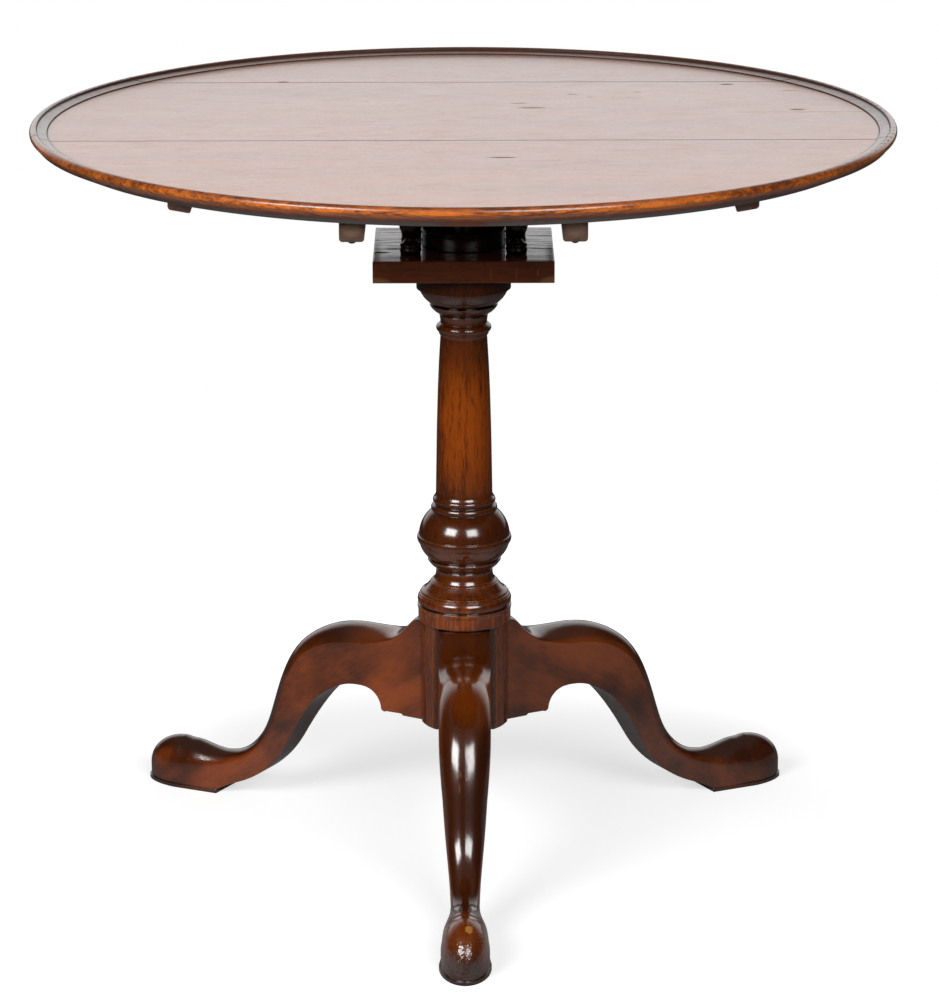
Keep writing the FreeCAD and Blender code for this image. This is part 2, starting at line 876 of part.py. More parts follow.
def latch_bolt():
    blank = box(
        Vector(-bolt_width / 2, bolt_tip - bolt_length, bolt_middle - bolt_thickness / 2),
        Vector(bolt_width / 2, bolt_tip, bolt_middle + bolt_thickness / 2),
    )
    rivet_hole = Part.makeCylinder(
        knob_rivet_radius + glue_clearance,
        bolt_thickness + 2 * cut_overrun,
        Vector(0, knob_y, bolt_middle - bolt_thickness / 2 - cut_overrun),
    )
    return blank.cut(rivet_hole)


def latch_knob():
    """Turned knob, riveted through the bolt by a pin on its stem."""
    foot = bolt_middle - bolt_thickness / 2
    neck = foot - knob_stem_length
    end = neck - knob_height
    crown = knob_height / 2
    waist = Vector(knob_radius, 0, end + crown)
    shoulder = Vector(knob_radius * math.sin(math.pi / 4), 0, end + crown * (1 - math.cos(math.pi / 4)))
    edges = [arc(Vector(0, 0, end), shoulder, waist)]
    edges += path_of(
        [
            waist,
            Vector(knob_stem_radius, 0, neck),
            Vector(knob_stem_radius, 0, foot),
            Vector(knob_rivet_radius, 0, foot),
            Vector(knob_rivet_radius, 0, foot + bolt_thickness),
            Vector(0, 0, foot + bolt_thickness),
        ]
    )
    knob = turned(edges)
    knob.translate(Vector(0, knob_y, 0))
    return knob


def latch_screws(clearance):
    x = latch_plate_width / 2 - latch_screw_margin
    plate_foot = underside - latch_plate_thickness
    screws = []
    for side in (-1, 1):
        for y in (latch_case_front + latch_screw_margin, latch_case_back - latch_screw_margin):
            one = small_screw(clearance)
            one.translate(Vector(side * x, y, plate_foot))
            screws.append(one)
    return Part.makeCompound(screws)


def small_screw(clearance):
    return screw(
        small_screw_shank_radius + clearance,
        small_screw_head_radius,
        small_screw_head_height,
        small_screw_length + clearance,
    )


def bolt_opening(depth):
    """Space for the bolt's tip, from the block's front face to a depth."""
    half = bolt_width / 2 + running_clearance
    rise = bolt_thickness / 2 + running_clearance
    return box(
        Vector(-half, block_front - cut_overrun, bolt_middle - rise),
        Vector(half, block_front + depth, bolt_middle + rise),
    )


def bolt_mortise():
    return bolt_opening(bolt_throw - bolt_gap + mortise_margin)


def keeper_blank():
    top = bolt_middle + bolt_thickness / 2 + mortise_margin
    return box(
        Vector(-keeper_width / 2, block_front, top - keeper_height),
        Vector(keeper_width / 2, block_front + keeper_thickness, top),
    )


def keeper_screws(clearance):
    """Two screws that lie along +Y through the keeper into the block."""
    x = keeper_width / 2 - keeper_screw_margin
    top = bolt_middle + bolt_thickness / 2 + mortise_margin
    screws = []
    for side in (-1, 1):
        one = small_screw(clearance)
        one.rotate(Vector(), Vector(1, 0, 0), -90)
        one.translate(Vector(side * x, block_front, top - keeper_height / 2))
        screws.append(one)
    return Part.makeCompound(screws)


def latch_keeper():
    return keeper_blank().cut([bolt_opening(keeper_thickness + cut_overrun), keeper_screws(glue_clearance)])


def table_pieces():
    holes = batten_screws(glue_clearance)
    pieces = top_boards([holes, latch_screws(glue_clearance)])
    pieces["batten_inner_right"] = inner_batten().cut(holes)
    pieces["batten_inner_left"] = mirrored_x(inner_batten()).cut(holes)
    pieces["batten_outer_right"] = outer_batten().cut(holes)
    pieces["batten_outer_left"] = mirrored_x(outer_batten()).cut(holes)
    pieces["batten_screws"] = batten_screws(0)
    pieces["cage_upper_block"] = cage_upper_block()
    pieces["cage_lower_block"] = cage_lower_block()
    for name, foot in baluster_places().items():
        pieces[name] = baluster()
        pieces[name].translate(foot)
    pieces["column"] = column()
    pieces["collar"] = collar()
    pieces["wedge"] = wedge()
    for name, angle in leg_angles.items():
        pieces[name] = spun(leg(), angle)
    pieces["latch_case"] = latch_case()
    pieces["latch_bolt"] = latch_bolt()
    pieces["latch_knob"] = latch_knob()
    pieces["latch_screws"] = latch_screws(0)
    pieces["latch_keeper"] = latch_keeper()
    pieces["keeper_screws"] = keeper_screws(0)
    return pieces


def main():
    os.makedirs("parts", exist_ok=True)
    for name, shape in table_pieces().items():
        shape.exportStep(os.path.join("parts", name + ".step"))


main()
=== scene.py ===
import math

import bpy
from mathutils import Euler, Matrix, Vector


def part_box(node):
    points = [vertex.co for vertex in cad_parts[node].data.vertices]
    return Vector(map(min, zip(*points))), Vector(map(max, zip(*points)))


# Tilt-top tea table in a plain white studio. Metres and radians, in the part's own frame.

# Camera
camera_place = (0.0, -3.6809, 1.4155)
camera_pitch = 0.2820
camera_yaw = -0.0014
camera_roll = -0.0021
camera_lens = 142.1
sensor_height = 36.0

# Studio: two soft boxes in front, a white backdrop behind and a white floor
soft_box_width = 1.25
soft_box_height = 1.05
soft_box_distance = 2.7
soft_box_rise = math.radians(28)
soft_box_aim = Vector((0, 0, 0.4))
soft_boxes = {"soft_box_left": (math.radians(-38), 11.5), "soft_box_right": (math.radians(22), 9.0)}
front_level = 0.02
back_level = 1.11
overhead_level = 0.10
below_level = 0.03
back_span = (0.60, 0.90)
overhead_span = (0.45, 0.85)
horizon_span = (-0.02, 0.02)
white = (1.0, 1.0, 1.0)
floor_radius = 1.25
floor_sides = 96
floor_seen_colour = (0.60, 0.60, 0.60)
floor_lit_colour = (0.18, 0.18, 0.18)
floor_mirror_near = (0.50, 0.50, 0.50)
floor_mirror_far = (0.24, 0.24, 0.24)
floor_mirror_span = (0.25, 0.45)
floor_glow_near = 0.63
floor_glow_span = (0.36, 0.64)

# Noises: repeats per metre, along the grain and twice across it, wander of the grain, and details
wander_repeats = (3.0, 9.0, 9.0)
patch_repeats = (3.0, 22.0, 22.0)
streak_repeats = (22.0, 240.0, 240.0)
fibre_repeats = (80.0, 1000.0, 1000.0)
pore_repeats = (150.0, 1800.0, 1800.0)
mottle_repeats = (14.0, 22.0, 22.0)
ripple_repeats = (14.0, 20.0, 20.0)
stain_repeats = (420.0, 420.0, 420.0)
scuff_repeats = (260.0, 420.0, 420.0)
ragged_repeats = (380.0, 380.0, 380.0)
crackle_repeats = (420.0, 420.0, 420.0)
wander_depth = 0.006
soft_detail = 1.0
plain_detail = 2.0
mottle_detail = 3.0
stain_detail = 4.0

# Where noises, edges and corners turn into markings, and how deep or strong these are
pore_span = (0.58, 0.70)
worn_span = (0.52, 0.66)
edge_span = (0.998, 0.95)
# Painted shade: corners darkened by ambient occlusion, as dirt and as shade
dirt_and_shade_span = (0.92, 0.60)
stain_span = (0.43, 0.57)
scuff_span = (0.63, 0.70)
scuff_strength = 0.15
edge_radius = 0.0012
wear_samples = 4
dirt_and_shade_reach = 0.007
ripple_depth = 0.0003
fibre_depth = 0.00010
crackle_strength = 1.6
# Painted shade: where a leg's rounded crest, turned away from its flat sides, is painted darker
painted_crest_shade_span = (0.97, 0.70)

# Figures: shares of patches, streaks, fibres and mottle, ends of the shade, and strength of the pores
field_shares = ((0.24, 0.26, 0.34, 0.16), (0.36, 0.64), 0.4)
rim_shares = ((0.24, 0.32, 0.30, 0.14), (0.40, 0.60), 0.2)
shaft_shares = ((0.22, 0.32, 0.34, 0.12), (0.43, 0.57), 0.35)
turned_shares = ((0.34, 0.08, 0.26, 0.32), (0.38, 0.62), 0.2)
leg_shares = ((0.30, 0.04, 0.14, 0.52), (0.38, 0.62), 0.1)
block_shares = ((0.30, 0.30, 0.25, 0.15), (0.38, 0.62), 0.5)

# Tints of each wood: dark, light, pores, worn edges, dirt (in corners also painted shade)
field_tints = (
    (0.370, 0.118, 0.052),
    (0.610, 0.230, 0.108),
    (0.130, 0.045, 0.026),
    (0.420, 0.220, 0.120),
    (0.030, 0.014, 0.010),
)
rim_tints = (
    (0.170, 0.036, 0.004),
    (0.860, 0.200, 0.010),
    (0.070, 0.014, 0.003),
    (0.600, 0.260, 0.090),
    (0.020, 0.008, 0.005),
)
under_tints = (
    (0.100, 0.048, 0.032),
    (0.170, 0.086, 0.060),
    (0.040, 0.018, 0.011),
    (0.160, 0.085, 0.050),
    (0.015, 0.008, 0.006),
)
shaft_tints = (
    (0.125, 0.020, 0.0005),
    (0.340, 0.064, 0.001),
    (0.070, 0.012, 0.001),
    (0.460, 0.150, 0.030),
    (0.008, 0.003, 0.001),
)
turned_tints = (
    (0.032, 0.006, 0.0005),
    (0.076, 0.014, 0.001),
    (0.020, 0.005, 0.002),
    (0.300, 0.100, 0.030),
    (0.004, 0.002, 0.001),
)
cage_tints = (
    (0.075, 0.016, 0.005),
    (0.155, 0.036, 0.010),
    (0.030, 0.007, 0.003),
    (0.260, 0.110, 0.045),
    (0.006, 0.003, 0.002),
)
baluster_tints = (
    (0.012, 0.004, 0.002),
    (0.026, 0.008, 0.004),
    (0.008, 0.003, 0.002),
    (0.070, 0.030, 0.016),
    (0.003, 0.002, 0.001),
)
leg_tints = (
    (0.044, 0.009, 0.002),
    (0.220, 0.046, 0.008),
    (0.024, 0.006, 0.002),
    (0.300, 0.110, 0.038),
    (0.006, 0.003, 0.002),
)
# Painted light: a lighter copy of the leg tints for the back left leg, whose side faces the brighter lamp
lit_left_leg_tints = (
    (0.064, 0.012, 0.002),
    (0.330, 0.064, 0.009),
    *leg_tints[2:],
)
batten_tints = (
    (0.150, 0.074, 0.050),
    (0.260, 0.142, 0.098),
    (0.110, 0.062, 0.045),
    (0.560, 0.350, 0.240),
    (0.030, 0.018, 0.013),
)

# Tint of the dirt in joints, rings and marks
joint_tint = (0.020, 0.010, 0.007)

# Metals: dull and bright tints, roughness where bright, and what a stain adds to it
brass_tints = ((0.22, 0.13, 0.05), (0.62, 0.42, 0.16))
iron_tints = ((0.045, 0.034, 0.028), (0.120, 0.105, 0.095))
brass_roughness = 0.30
iron_roughness = 0.45
stain_roughness = 0.2

# Finishes: roughness of the wood, how far the coat is worn along the grain, and the shader's own settings
satin_finish = (0.28, 0.15, {"Coat Roughness": 0.22, "Specular IOR Level": 0.4, "Coat IOR": 1.5})
gloss_finish = (0.40, 0.10, {"Coat Roughness": 0.17, "Specular IOR Level": 0.0, "Coat IOR": 1.85})
block_finish = (0.45, 0.80, {"Coat Roughness": 0.12, "Specular IOR Level": 0.1, "Coat IOR": 1.5})
dull_finish = (0.50, 0.80, {"Coat Roughness": 0.30, "Specular IOR Level": 0.3, "Coat IOR": 1.5})
dark_finish = (0.50, 0.20, {"Coat Roughness": 0.25, "Specular IOR Level": 0.0, "Coat IOR": 1.4})

# Wear: strength of rubbed edges, and what mottle, dirt and bare wood add to the roughness
plain_wear = 0.5
leg_wear = 0.8
turned_wear = 1.3
uneven_share = 0.16
dirt_roughness = 0.30
bare_roughness = 0.60

# Where a new mark starts on a ramp of shares, before it gets its own place
ramp_middle = 0.5

# How light the column is at a height, as shares from the dark turnings to the plain shaft; the fall
# towards the top of the shaft is painted shadow of the table top
column_tone_and_shadow_shares = (
    (0.124, 0.60),
    (0.226, 0.65),
    (0.231, 0.90),
    (0.245, 1.00),
    (0.248, 0.60),
    (0.256, 0.42),
    (0.262, 0.22),
    (0.282, 0.25),
    (0.296, 0.26),
    (0.306, 0.24),
    (0.312, 0.10),
    (0.341, 0.06),
    (0.356, 0.14),
    (0.368, 0.50),
    (0.400, 0.80),
    (0.440, 1.00),
    (0.468, 0.90),
    (0.495, 0.36),
    (0.512, 0.24),
    (0.520, 0.22),
    (0.535, 0.24),
    (0.548, 0.10),
    (0.582, 0.10),
)

# How light the rim is at a height, as shares from its darker tint to its orange wood
rim_shade_shares = (
    (0.7080, 0.35),
    (0.7130, 0.55),
    (0.7150, 0.95),
    (0.7190, 1.00),
    (0.7205, 0.60),
    (0.7225, 0.45),
    (0.7240, 0.30),
)

# Bead of the rim: its inner and outer arcs have the same middle in plan and differ in height
bead_radius = 0.40348
bead_heights = (0.72063, 0.71948)
bead_side_span = (0.4030, 0.4040)
bead_band = (0.4009, 0.4013)
bead_foot_span = (0.7160, 0.7168)

# Top: where its bands lie, and the places and widths of its lines
rim_band = (0.3905, 0.3925)
rim_crest_band = (0.4020, 0.4045)
under_band = (0.7095, 0.7045)
joint_half_width = (0.0012, 0.0006)
ring_radii = (0.3913, 0.4011)
ring_half_width = (0.0008, 0.0001)
ring_strength = 0.75

# Legs: slope of the grain, and the way each leg points with its tints
leg_slope = math.radians(32)
legs = {
    "leg_front": (math.radians(-90), leg_tints),
    "leg_back_right": (math.radians(30), leg_tints),
    "leg_back_left": (math.radians(150), lit_left_leg_tints),
}

# Spots: place, half sizes where 0 is no limit, and strength
field_spots = (
    ((0.036, -0.159, 0), (0.014, 0.0020, 0), 0.9),
    ((-0.180, 0.231, 0), (0.006, 0.0040, 0), 0.6),
    ((0.263, 0.212, 0), (0.007, 0.0025, 0), 0.9),
    ((0.322, 0.075, 0), (0.008, 0.0050, 0), 0.6),
    ((0.325, 0.062, 0), (0.070, 0.0008, 0), 0.7),
    ((0.054, 0.111, 0), (0.010, 0.0030, 0), 0.4),
    ((0.066, 0.087, 0), (0.014, 0.0040, 0), 0.5),
    ((0.107, 0.159, 0), (0.006, 0.0025, 0), 0.5),
    ((0.124, 0.144, 0), (0.003, 0.0020, 0), 0.5),
    ((0.172, 0.171, 0), (0.004, 0.0020, 0), 0.5),
    ((0.323, 0.177, 0), (0.010, 0.0025, 0), 0.4),
)
chip_spots = (
    ((0.0036, -0.352, 0.046), (0.0038, 0.008, 0.0032), 0.75),
    ((-0.0106, -0.362, 0.039), (0.0025, 0.006, 0.0008), 0.6),
    ((-0.0040, -0.240, 0.142), (0.0009, 0.060, 0.0030), 0.22),
    ((0.0015, -0.240, 0.138), (0.0012, 0.060, 0.0014), 0.35),
    ((-0.0050, -0.240, 0.130), (0.0008, 0.060, 0.0050), 0.16),
    ((-0.303, 0.170, 0.026), (0.003, 0.006, 0.0015), 0.7),
)
dust_spots = (
    ((-0.012, -0.372, 0.018), (0.022, 0.022, 0.022), 0.8),
    ((0.010, -0.373, 0.012), (0.022, 0.016, 0.016), 0.7),
)
worn_spots = (
    ((-0.084, -0.0757, 0.584), (0.016, 0.010, 0.004), 0.8),
    ((0.084, -0.0757, 0.584), (0.012, 0.010, 0.005), 0.8),
    ((0.0256, -0.0757, 0.590), (0.0006, 0.004, 0.008), 0.35),
    ((0.0493, -0.0757, 0.590), (0.0006, 0.004, 0.009), 0.35),
    ((0.0695, -0.0757, 0.592), (0.0007, 0.004, 0.003), 0.7),
)
crack_spots = (
    ((-0.077, -0.036, 0.603), (0.008, 0.0030, 0.002), 1.0),
    ((0.070, 0.010, 0.603), (0.020, 0.0010, 0.002), 0.8),
)
# Painted light: lighter orange patches on the legs and the front foot, under the front knee's crease and
# on the back left leg's side
painted_light_spots = (
    ((0.004, -0.112, 0.183), (0.032, 0.060, 0.026), 0.95),
    ((0.000, -0.350, 0.044), (0.036, 0.036, 0.026), 0.50),
    ((-0.130, 0.110, 0.158), (0.060, 0.060, 0.034), 0.45),
    ((-0.066, 0.040, 0.190), (0.040, 0.040, 0.040), 0.50),
)
crackle_spots = (((0.000, -0.368, 0.030), (0.030, 0.034, 0.034), 1.0),)

# Worn spot on the front end of an inner batten: half sizes and strength
end_halves = (0.010, 0.004, 0.008)
end_strength = 0.5

# Tints of chips, dust and painted light
chip_tint = (0.480, 0.210, 0.045)
dust_tint = (0.090, 0.072, 0.062)
painted_light_tint = (0.250, 0.046, 0.002)

# Where a spot starts and is full, in half sizes with a noise added, and the ragged noise's strength
mark_edge = (1.7, 1.1)
chip_edge = (2.1, 1.8)
soft_edge = (1.9, 0.8)
ragged_strength = 2.0


def tint(colour):
    return (*colour, 1.0)


class Paint:
    """Short ways to add nodes to the shader tree of one material or of the world."""

    def __init__(self, tree):
        self.tree = tree
        tree.nodes.clear()

    def put(self, socket, value):
        if isinstance(value, bpy.types.NodeSocket):
            self.tree.links.new(value, socket)
        else:
            socket.default_value = value

    def node(self, kind, inputs, **settings):
        made = self.tree.nodes.new("ShaderNode" + kind)
        for name, value in settings.items():
            setattr(made, name, value)
        for key, value in inputs.items():
            self.put(made.inputs[key], value)
        return made

    def sum(self, operation, first, second=0.0):
        return self.node("Math", {0: first, 1: second}, operation=operation).outputs[0]

    def times(self, first, second):
        return self.sum("MULTIPLY", first, second)

    def dot(self, first, second):
        return self.node("VectorMath", {0: first, 1: second}, operation="DOT_PRODUCT").outputs["Value"]

    def length(self, vector):
        return self.node("VectorMath", {0: vector}, operation="LENGTH").outputs["Value"]

    def away(self, value, place):
        """How far a value is from a place, on either side of it."""
        return self.sum("ABSOLUTE", self.sum("SUBTRACT", value, place))

    def span(self, value, ends):
        """0 at the first end, 1 at the second and a smooth step between them."""
        inputs = {"Value": value, "From Min": ends[0], "From Max": ends[1]}
        return self.node("MapRange", inputs, interpolation_type="SMOOTHSTEP").outputs["Result"]

    def noise(self, at, repeats, detail=plain_detail):
        scaled = self.node("VectorMath", {0: at, 1: repeats}, operation="MULTIPLY").outputs[0]
        return self.node("TexNoise", {"Vector": scaled, "Scale": 1.0, "Detail": detail})

    def blend(self, share, first, second):
        ends = [end if isinstance(end, bpy.types.NodeSocket) else tint(end) for end in (first, second)]
        return self.node("Mix", {0: share, 6: ends[0], 7: ends[1]}, data_type="RGBA").outputs[2]

    def mix(self, share, first, second):
        return self.node("Mix", {0: share, 2: first, 3: second}, data_type="FLOAT").outputs[0]

    def stepped(self, value, stops):
        """Value turned into the shares of the stops, with straight steps between them."""
        low = stops[0][0]
        reach = stops[-1][0] - low
        ramp = self.node("ValToRGB", {0: self.times(self.sum("SUBTRACT", value, low), 1 / reach)})
        marks = ramp.color_ramp.elements
        while len(marks) < len(stops):
            marks.new(ramp_middle)
        for mark, (place, share) in zip(marks, stops):
            mark.position = (place - low) / reach
            mark.color = tint((share,) * 3)
        return ramp.outputs["Color"]

    def object_place(self):
        return self.node("TexCoord", {}).outputs["Object"]

    def finish(self, shader, output="OutputMaterial"):
        self.node(output, {"Surface": shader})


def new_material(name):
    material = bpy.data.materials.new(name)
    material.use_nodes = True
    return material, Paint(material.node_tree)


class Grain:
    """The markings of one piece of wood, drawn out along its grain."""

    def __init__(self, paint, turn):
        self.paint = paint
        self.place = paint.object_place()
        straight = paint.node("Mapping", {"Vector": self.place, "Rotation": turn}).outputs[0]
        drift = paint.noise(straight, wander_repeats).outputs["Color"]
        inputs = {0: drift, 1: (wander_depth,) * 3, 2: straight}
        self.along = paint.node("VectorMath", inputs, operation="MULTIPLY_ADD").outputs[0]
        self.patches = paint.noise(self.along, patch_repeats).outputs["Fac"]
        self.streaks = paint.noise(self.along, streak_repeats).outputs["Fac"]
        self.fibres = paint.noise(self.along, fibre_repeats).outputs["Fac"]
        self.mottle = paint.noise(straight, mottle_repeats, mottle_detail).outputs["Fac"]
        holes = paint.noise(self.along, pore_repeats, soft_detail).outputs["Fac"]
        self.pores = paint.span(holes, pore_span)
        self.ripple = paint.noise(straight, ripple_repeats, soft_detail).outputs["Fac"]
        self.ragged = paint.times(paint.noise(self.place, ragged_repeats).outputs["Fac"], ragged_strength)
        self.crackled = 0.0

    def colour(self, tints, figure):
        shares, ends, pore_strength = figure
        total = 0.0
        for part, share in zip((self.patches, self.streaks, self.fibres, self.mottle), shares):
            total = self.paint.sum("ADD", self.paint.times(part, share), total)
        wood = self.paint.blend(self.paint.span(total, ends), tints[0], tints[1])
        return self.paint.blend(self.paint.times(self.pores, pore_strength), wood, tints[2])

    def smooth_normal(self, edges):
        """Normal of the clear coat: rounded edges, the slow ripple of hand work, and crackle in places."""
        crackle = self.paint.noise(self.place, crackle_repeats).outputs["Fac"]
        height = self.paint.sum("ADD", self.ripple, self.paint.times(crackle, self.crackled))
        inputs = {"Height": height, "Distance": ripple_depth, "Normal": edges}
        return self.paint.node("Bump", inputs).outputs[0]

    def fibre_normal(self, edges):
        """Normal of the wood under the coat: fibres and open pores as well."""
        height = self.paint.sum("SUBTRACT", self.fibres, self.pores)
        inputs = {"Height": height, "Distance": fibre_depth, "Normal": self.smooth_normal(edges)}
        return self.paint.node("Bump", inputs).outputs[0]


class Wear:
    """Where edges rub bare, and where corners are darkened as dirt and painted shade."""

    def __init__(self, paint):
        self.rounded = paint.node("Bevel", {"Radius": edge_radius}, samples=wear_samples).outputs[0]
        plain = paint.node("NewGeometry", {}).outputs["Normal"]
        self.edges = paint.span(paint.dot(self.rounded, plain), edge_span)
        # painted shade: ambient occlusion darkens corners and grooves, as dirt and as shade
        corners = paint.node("AmbientOcclusion", {"Distance": dirt_and_shade_reach}, samples=wear_samples)
        self.dirt = paint.span(corners.outputs["AO"], dirt_and_shade_span)

    def over(self, paint, colour, tints, grain, strength):
        """Colour with worn edges in patches, and dirt and painted shade in the corners."""
        rubbed = paint.times(self.edges, paint.times(grain.mottle, strength))
        return paint.blend(self.dirt, paint.blend(rubbed, colour, tints[3]), tints[4])


def polished(paint, grain, wear, colour, finish, bare=0.0):
    """Shader of polished wood: varied roughness under a clear coat that is worn along the grain."""
    roughness, coat_wear, settings = finish
    uneven = paint.sum("ADD", paint.times(grain.mottle, uneven_share), roughness)
    dusty = paint.sum("ADD", uneven, paint.times(wear.dirt, dirt_roughness))
    worn = paint.times(paint.span(grain.streaks, worn_span), coat_wear)
    gone = paint.sum("MAXIMUM", worn, bare)
    inputs = {
        "Base Color": colour,
        "Roughness": paint.sum("ADD", dusty, paint.times(gone, bare_roughness)),
        "Normal": grain.fibre_normal(wear.rounded),
        "Coat Normal": grain.smooth_normal(wear.rounded),
        "Coat Weight": paint.sum("SUBTRACT", 1.0, gone),
    }
    return paint.node("BsdfPrincipled", {**inputs, **settings}).outputs[0]


def spot_share(paint, grain, spot, rough, edge):
    """Strength of one small spot inside it, 0 outside, with an edge made uneven by a noise."""
    place, halves, strength = spot
    scales = [1 / half if half else 0 for half in halves]
    offset = paint.node("VectorMath", {0: grain.place, 1: place}, operation="SUBTRACT").outputs[0]
    shares = paint.node("VectorMath", {0: offset, 1: scales}, operation="MULTIPLY").outputs[0]
    return paint.times(paint.span(paint.sum("ADD", paint.length(shares), rough), edge), strength)


def spots_share(paint, grain, spots, rough, edge):
    total = 0.0
    for spot in spots:
        total = paint.sum("MAXIMUM", spot_share(paint, grain, spot, rough, edge), total)
    return total


def plain_wood(name, turn, tints, figure, finish, wear_strength, worn=(), cracks=()):
    material, paint = new_material(name)
    grain = Grain(paint, turn)
    wear = Wear(paint)
    colour = wear.over(paint, grain.colour(tints, figure), tints, grain, wear_strength)
    colour = paint.blend(spots_share(paint, grain, worn, grain.fibres, mark_edge), colour, tints[3])
    bare = spots_share(paint, grain, cracks, grain.fibres, mark_edge)
    colour = paint.blend(bare, colour, tints[4])
    paint.finish(polished(paint, grain, wear, colour, finish, bare))
    return material


def column_wood(turn):
    """Dark turnings above and below, and a lighter plain shaft between them, its upper part darkened by
    painted shadow of the top.
    """
    material, paint = new_material("column_wood")
    grain = Grain(paint, turn)
    wear = Wear(paint)
    height = paint.node("SeparateXYZ", {0: grain.place}).outputs[2]
    # the height ramp holds the turnings' dark tone and painted shadow of the top on the upper shaft
    shade = paint.stepped(height, column_tone_and_shadow_shares)
    dark = grain.colour(turned_tints, turned_shares)
    colour = paint.blend(shade, dark, grain.colour(shaft_tints, shaft_shares))
    colour = wear.over(paint, colour, turned_tints, grain, turned_wear)
    paint.finish(polished(paint, grain, wear, colour, gloss_finish))
    return material


def bead_normal(paint, wear, parts, flat, radius):
    """Normal of the rim's turned bead, from its two arcs, so that the mesh's facets don't show."""
    height = parts.outputs[2]
    middle = paint.mix(paint.span(radius, bead_side_span), *bead_heights)
    reach = paint.sum("DIVIDE", paint.sum("SUBTRACT", radius, bead_radius), radius)
    across = paint.node("VectorMath", {0: flat, "Scale": reach}, operation="SCALE").outputs[0]
    upward = paint.node("CombineXYZ", {2: paint.sum("SUBTRACT", height, middle)}).outputs[0]
    way = paint.node("VectorMath", {0: across, 1: upward}, operation="ADD").outputs[0]
    spaces = {"vector_type": "NORMAL", "convert_from": "OBJECT", "convert_to": "WORLD"}
    round_normal = paint.node("VectorTransform", {0: way}, **spaces).outputs[0]
    share = paint.times(paint.span(radius, bead_band), paint.span(height, bead_foot_span))
    return paint.node("Mix", {0: share, 4: wear.rounded, 5: round_normal}, data_type="VECTOR").outputs[1]


def top_wood(joints):
    """The boards of the top: a pale worn field, an orange rim, a plain underside, joints and marks."""
    material, paint = new_material("top_wood")
    grain = Grain(paint, (0, 0, 0))
    wear = Wear(paint)
    parts = paint.node("SeparateXYZ", {0: grain.place})
    flat = paint.node("CombineXYZ", {0: parts.outputs[0], 1: parts.outputs[1]}).outputs[0]
    radius = paint.length(flat)
    wear.rounded = bead_normal(paint, wear, parts, flat, radius)
    rim = paint.span(radius, rim_band)
    under = paint.span(parts.outputs[2], under_band)
    field = grain.colour(field_tints, field_shares)
    shade = paint.stepped(parts.outputs[2], rim_shade_shares)
    shade = paint.times(shade, paint.span(radius, rim_crest_band))
    orange = paint.blend(shade, grain.colour(cage_tints, rim_shares), grain.colour(rim_tints, rim_shares))
    colour = paint.blend(rim, field, orange)
    colour = paint.blend(under, colour, grain.colour(under_tints, block_shares))
    scuffs = paint.span(paint.noise(grain.place, scuff_repeats).outputs["Fac"], scuff_span)
    scuffs = paint.times(scuffs, rim)
    colour = paint.blend(paint.times(scuffs, scuff_strength), colour, rim_tints[3])
    above = paint.sum("SUBTRACT", 1.0, under)
    bare = paint.times(spots_share(paint, grain, field_spots, grain.fibres, mark_edge), above)
    for y in joints:
        dirt = paint.span(paint.away(parts.outputs[1], y), joint_half_width)
        bare = paint.sum("MAXIMUM", dirt, bare)
    for ring in ring_radii:
        dirt = paint.times(paint.span(paint.away(radius, ring), ring_half_width), ring_strength)
        bare = paint.sum("MAXIMUM", paint.times(dirt, above), bare)
    colour = paint.blend(bare, colour, joint_tint)
    colour = wear.over(paint, colour, field_tints, grain, plain_wear)
    paint.finish(polished(paint, grain, wear, colour, satin_finish, bare))
    return material


def leg_wood(name, away, tints):
    """One leg: lighter flat sides, a rounded crest with painted shade, painted light in patches, and the
    marks of use on the foot.
    """
    material, paint = new_material("wood_" + name)
    turn = Matrix.Rotation(-leg_slope, 3, "Y") @ Matrix.Rotation(-away, 3, "Z")
    grain = Grain(paint, turn.to_euler())
    wear = Wear(paint)
    side = (-math.sin(away), math.cos(away), 0)
    # painted shade: the rounded crest, turned away from the flat sides, takes the dark tint
    crest = paint.span(paint.sum("ABSOLUTE", paint.dot(wear.rounded, side)), painted_crest_shade_span)
    dark = grain.colour(turned_tints, turned_shares)
    colour = paint.blend(crest, grain.colour(tints, leg_shares), dark)
    # painted light: lighter orange patches laid over the wood
    colour = paint.blend(spots_share(paint, grain, painted_light_spots, grain.mottle, soft_edge), colour, painted_light_tint)
    colour = wear.over(paint, colour, leg_tints, grain, leg_wear)
    colour = paint.blend(spots_share(paint, grain, dust_spots, grain.ragged, soft_edge), colour, dust_tint)
    colour = paint.blend(spots_share(paint, grain, chip_spots, grain.ragged, chip_edge), colour, chip_tint)
    crackled = spots_share(paint, grain, crackle_spots, grain.ragged, soft_edge)
    grain.crackled = paint.times(crackled, crackle_strength)
    paint.finish(polished(paint, grain, wear, colour, gloss_finish))
    return material


def metal(name, tints, roughness):
    """Old metal: bright where it is rubbed, dull and dark elsewhere."""
    material, paint = new_material(name)
    place = paint.object_place()
    rubbed = paint.span(paint.noise(place, stain_repeats, stain_detail).outputs["Fac"], stain_span)
    shader = paint.node(
        "BsdfPrincipled",
        {
            "Base Color": paint.blend(rubbed, *tints),
            "Metallic": 1.0,
            "Roughness": paint.mix(rubbed, roughness + stain_roughness, roughness),
        },
    )
    paint.finish(shader.outputs[0])
    return material


def end_spot(name):
    """Worn spot in the middle of the front end of one batten."""
    low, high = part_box(name)
    return ((low.x + high.x) / 2, low.y, (low.z + high.z) / 2), end_halves, end_strength


